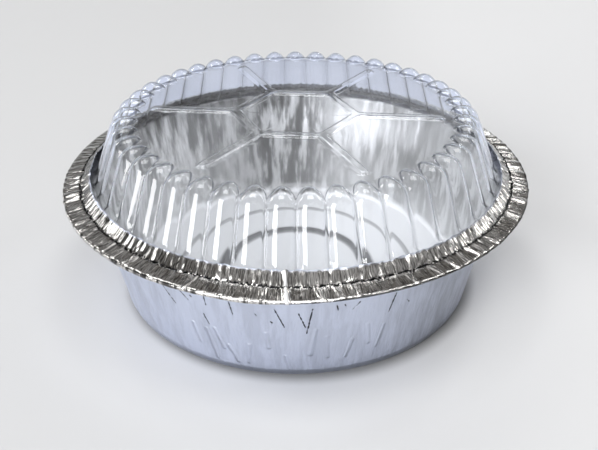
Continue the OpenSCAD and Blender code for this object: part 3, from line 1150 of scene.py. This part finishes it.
# %% Flat top
PLATE_COLUMNS = 360
SECTOR_COLUMNS = PLATE_COLUMNS // 6
ROUND_ROWS = [6, 12, 15.5]
RIB_ROWS = [0.4, 1.2, 1.5, 1.85, 2.2, 2.5]
HEX_ROWS = ROUND_ROWS + [HEX_FLAT - d for d in reversed(RIB_ROWS)] + [HEX_FLAT + d for d in RIB_ROWS]
RING_ROWS = [25, 28, 32, 36, 40, 44, 48, 51, 53, 54.2, 54.9, 55.4, 55.8, 56.2, 56.5, 57.2, 58.2]
SPOKE_COLUMNS = [0, 0.4, 0.8, 1.2, 1.5, 1.85, 2.2, 2.5, 3.4, 4.6]
TURNS_ROUND = (24, 36)


def plate_turn(off, row_r):
    """Angle from the nearest spoke of the column this many columns off it."""
    near_r = max(row_r, HEX_R + RIB_FOOT)
    k = abs(off)
    if k < len(SPOKE_COLUMNS):
        turned = math.asin(SPOKE_COLUMNS[k] / near_r)
    else:
        edge = math.asin(SPOKE_COLUMNS[-1] / near_r)
        spare = len(SPOKE_COLUMNS) - 1
        turned = edge + (SECTOR / 2 - edge) * (k - spare) / (SECTOR_COLUMNS / 2 - spare)
    turned = math.copysign(turned, off)
    even = SECTOR * off / SECTOR_COLUMNS
    return turned + (even - turned) * smooth_step(SPOKE_R, RING_ROWS[-1], row_r)


def plate_place(column, row):
    """Radius and angle of a point of the flat top, in mm, from its column and row."""
    spoke, off = divmod(column + SECTOR_COLUMNS // 2, SECTOR_COLUMNS)
    off -= SECTOR_COLUMNS // 2
    row_r = (HEX_ROWS + RING_ROWS)[row]
    turned = plate_turn(off, row_r)
    on_hexagon = row_r / math.cos(SECTOR / 2 - abs(turned))
    if row < len(ROUND_ROWS):
        r = row_r
    elif row < len(HEX_ROWS):
        r = on_hexagon
    else:
        r = row_r + (on_hexagon - row_r) * (1 - smooth_step(*TURNS_ROUND, row_r))
    return r, HEX_TURN + SECTOR * spoke + turned


print("rib rows", len(HEX_ROWS), "ring rows", len(RING_ROWS))

# %% [markdown]
# The lid's mesh is spun flat, with a row for each ring of the top and each step of the flutes, and then every
# point is carried to its place. The flutes' rows have twice the columns. Where the sheet is bent hard, at a
# tip and along a valley, the plastic is marked with how sharp the bend is, and the material paints shade
# there, because such a bend looks dark in clear plastic.

# %% Lid mesh
APRON_ROWS = 4
TIP_ROUNDNESS = 0.45
# Row below a flute's tip, and how sharp the bend is there.
TIP_BENDS = {1: 0.6, 2: 1.0}
VALLEY_BEND = 0.35
VALLEY_SHARE = 0.05

plate_r = HEX_ROWS + RING_ROWS
flutes_from = len(plate_r) + 1
apron_to = flutes_from + APRON_ROWS
lid_points = [(0, 0)] + [(r, 0) for r in plate_r]
lid_points += [(plate_r[-1] + 1 + i, 0) for i in range(APRON_ROWS + len(crest_line))]


def flute_place(row, angle):
    """A point of the flutes, or of the apron before them, in mm, and how sharp its bend is."""
    turned = angle + FLUTE_TURN
    line = max(0, row - apron_to)
    share = flute_share(angle, TIP_ROUNDNESS * smooth_step(4, 0, line))
    (rc, zc), (rv, zv) = crest_line[line], valley_line[line]
    r = rc * share + rv * (1 - share)
    z = zc * share + zv * (1 - share)
    if share > VALLEY_SHARE:
        bend = TIP_BENDS.get(line, 0.0)
    else:
        bend = VALLEY_BEND if row > apron_to else 0.0
    if row < apron_to:
        part = (row - flutes_from + 1) / (APRON_ROWS + 1)
        r = plate_r[-1] + (r - plate_r[-1]) * part
        z = PLATE_Z + (z - PLATE_Z) * part * part
    return r * math.cos(turned), r * math.sin(turned), z - droop(turned, r), bend


bm, _ = start_outline(lid_points)
along, stations = spin_outline(bm, PLATE_COLUMNS)
row_of = {round(length, 3): i for i, (_, length) in enumerate(stations)}
finer_rings(bm, along, stations[flutes_from][1] - 0.1, stations[-1][1] + 1, 1)
bend_sharpness = bm.verts.layers.float.new("bend")
for v in bm.verts:
    row = row_of[round(v[along], 3)]
    angle = math.atan2(v.co.y, v.co.x)
    if row == 0:
        x, y, z = 0, 0, PLATE_Z
    elif row < flutes_from:
        column = round(angle / (2 * math.pi) * PLATE_COLUMNS) % PLATE_COLUMNS
        r, a = plate_place(column, row - 1)
        x = r * math.cos(a)
        y = r * math.sin(a)
        z = PLATE_Z + rib_height(x, y)
    else:
        x, y, z, v[bend_sharpness] = flute_place(row, angle)
    v.co = Vector((x, y, z)) * MM
face_outward(bm, up_at_axis=True)
print("lid", sum(len(f.verts) - 2 for f in bm.faces), "triangles a side")

# %% [markdown]
# ## Clear plastic
# Clear sheet is glass to the renderer: it lets light through, mirrors a little of the room
# and mirrors more at a slant. Lamps would not shine through real glass in this renderer
# without many more samples, so for shadow rays alone the sheet is plainly transparent.
# Where the sheet is bent hard, the mark left on the mesh gives it a darker tint, which is painted shade.

# %% Plastic
CLEAR = (0.955, 0.975, 1.0, 1)
# Painted shade for hard bends, which refraction makes look dark in clear plastic.
SHARP_BEND_SHADE = (0.22, 0.24, 0.29, 1)
SHARP_BEND_SHADE_SHARE = 0.85
SHADOW_TINT = (0.93, 0.935, 0.96, 1)
RIPPLE = (60, 2, 0.5)
RIPPLE_H = 0.3

clear_sheet, w = new_material("clear_sheet")
ripple = w.node("TexCoord", output=3).cloud(*RIPPLE)
bump = w.node("Bump", Height=ripple, Strength=0.15, Distance=RIPPLE_H * MM)
bend = w.node("Attribute", {"attribute_name": "bend"}, output=2)
plastic = w.node("BsdfPrincipled", Base_Color=(bend * SHARP_BEND_SHADE_SHARE).mix(CLEAR, SHARP_BEND_SHADE), Roughness=0.03,
                 IOR=1.5, Transmission_Weight=1.0, Coat_Weight=0.3, Normal=bump)
open_air = w.node("BsdfTransparent", Color=SHADOW_TINT)
shadow_ray = w.node("LightPath", output="Is Shadow Ray")
show(w.node("MixShader", i0=shadow_ray, i1=plastic, i2=open_air))

lid = finished_object("dome_lid_sheet", bm, clear_sheet)
shade_smooth(lid)
give_thickness(lid, LID_T, 0)
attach(lid, "root")
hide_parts("dome_lid")
print("lid sheet", len(lid.data.polygons), "faces")

# %% [markdown]
# ## The finish
# The picture's colours are left as they are.

# %% Finish
bpy.context.scene.view_settings.view_transform = "Standard"
bpy.context.view_layer.update()
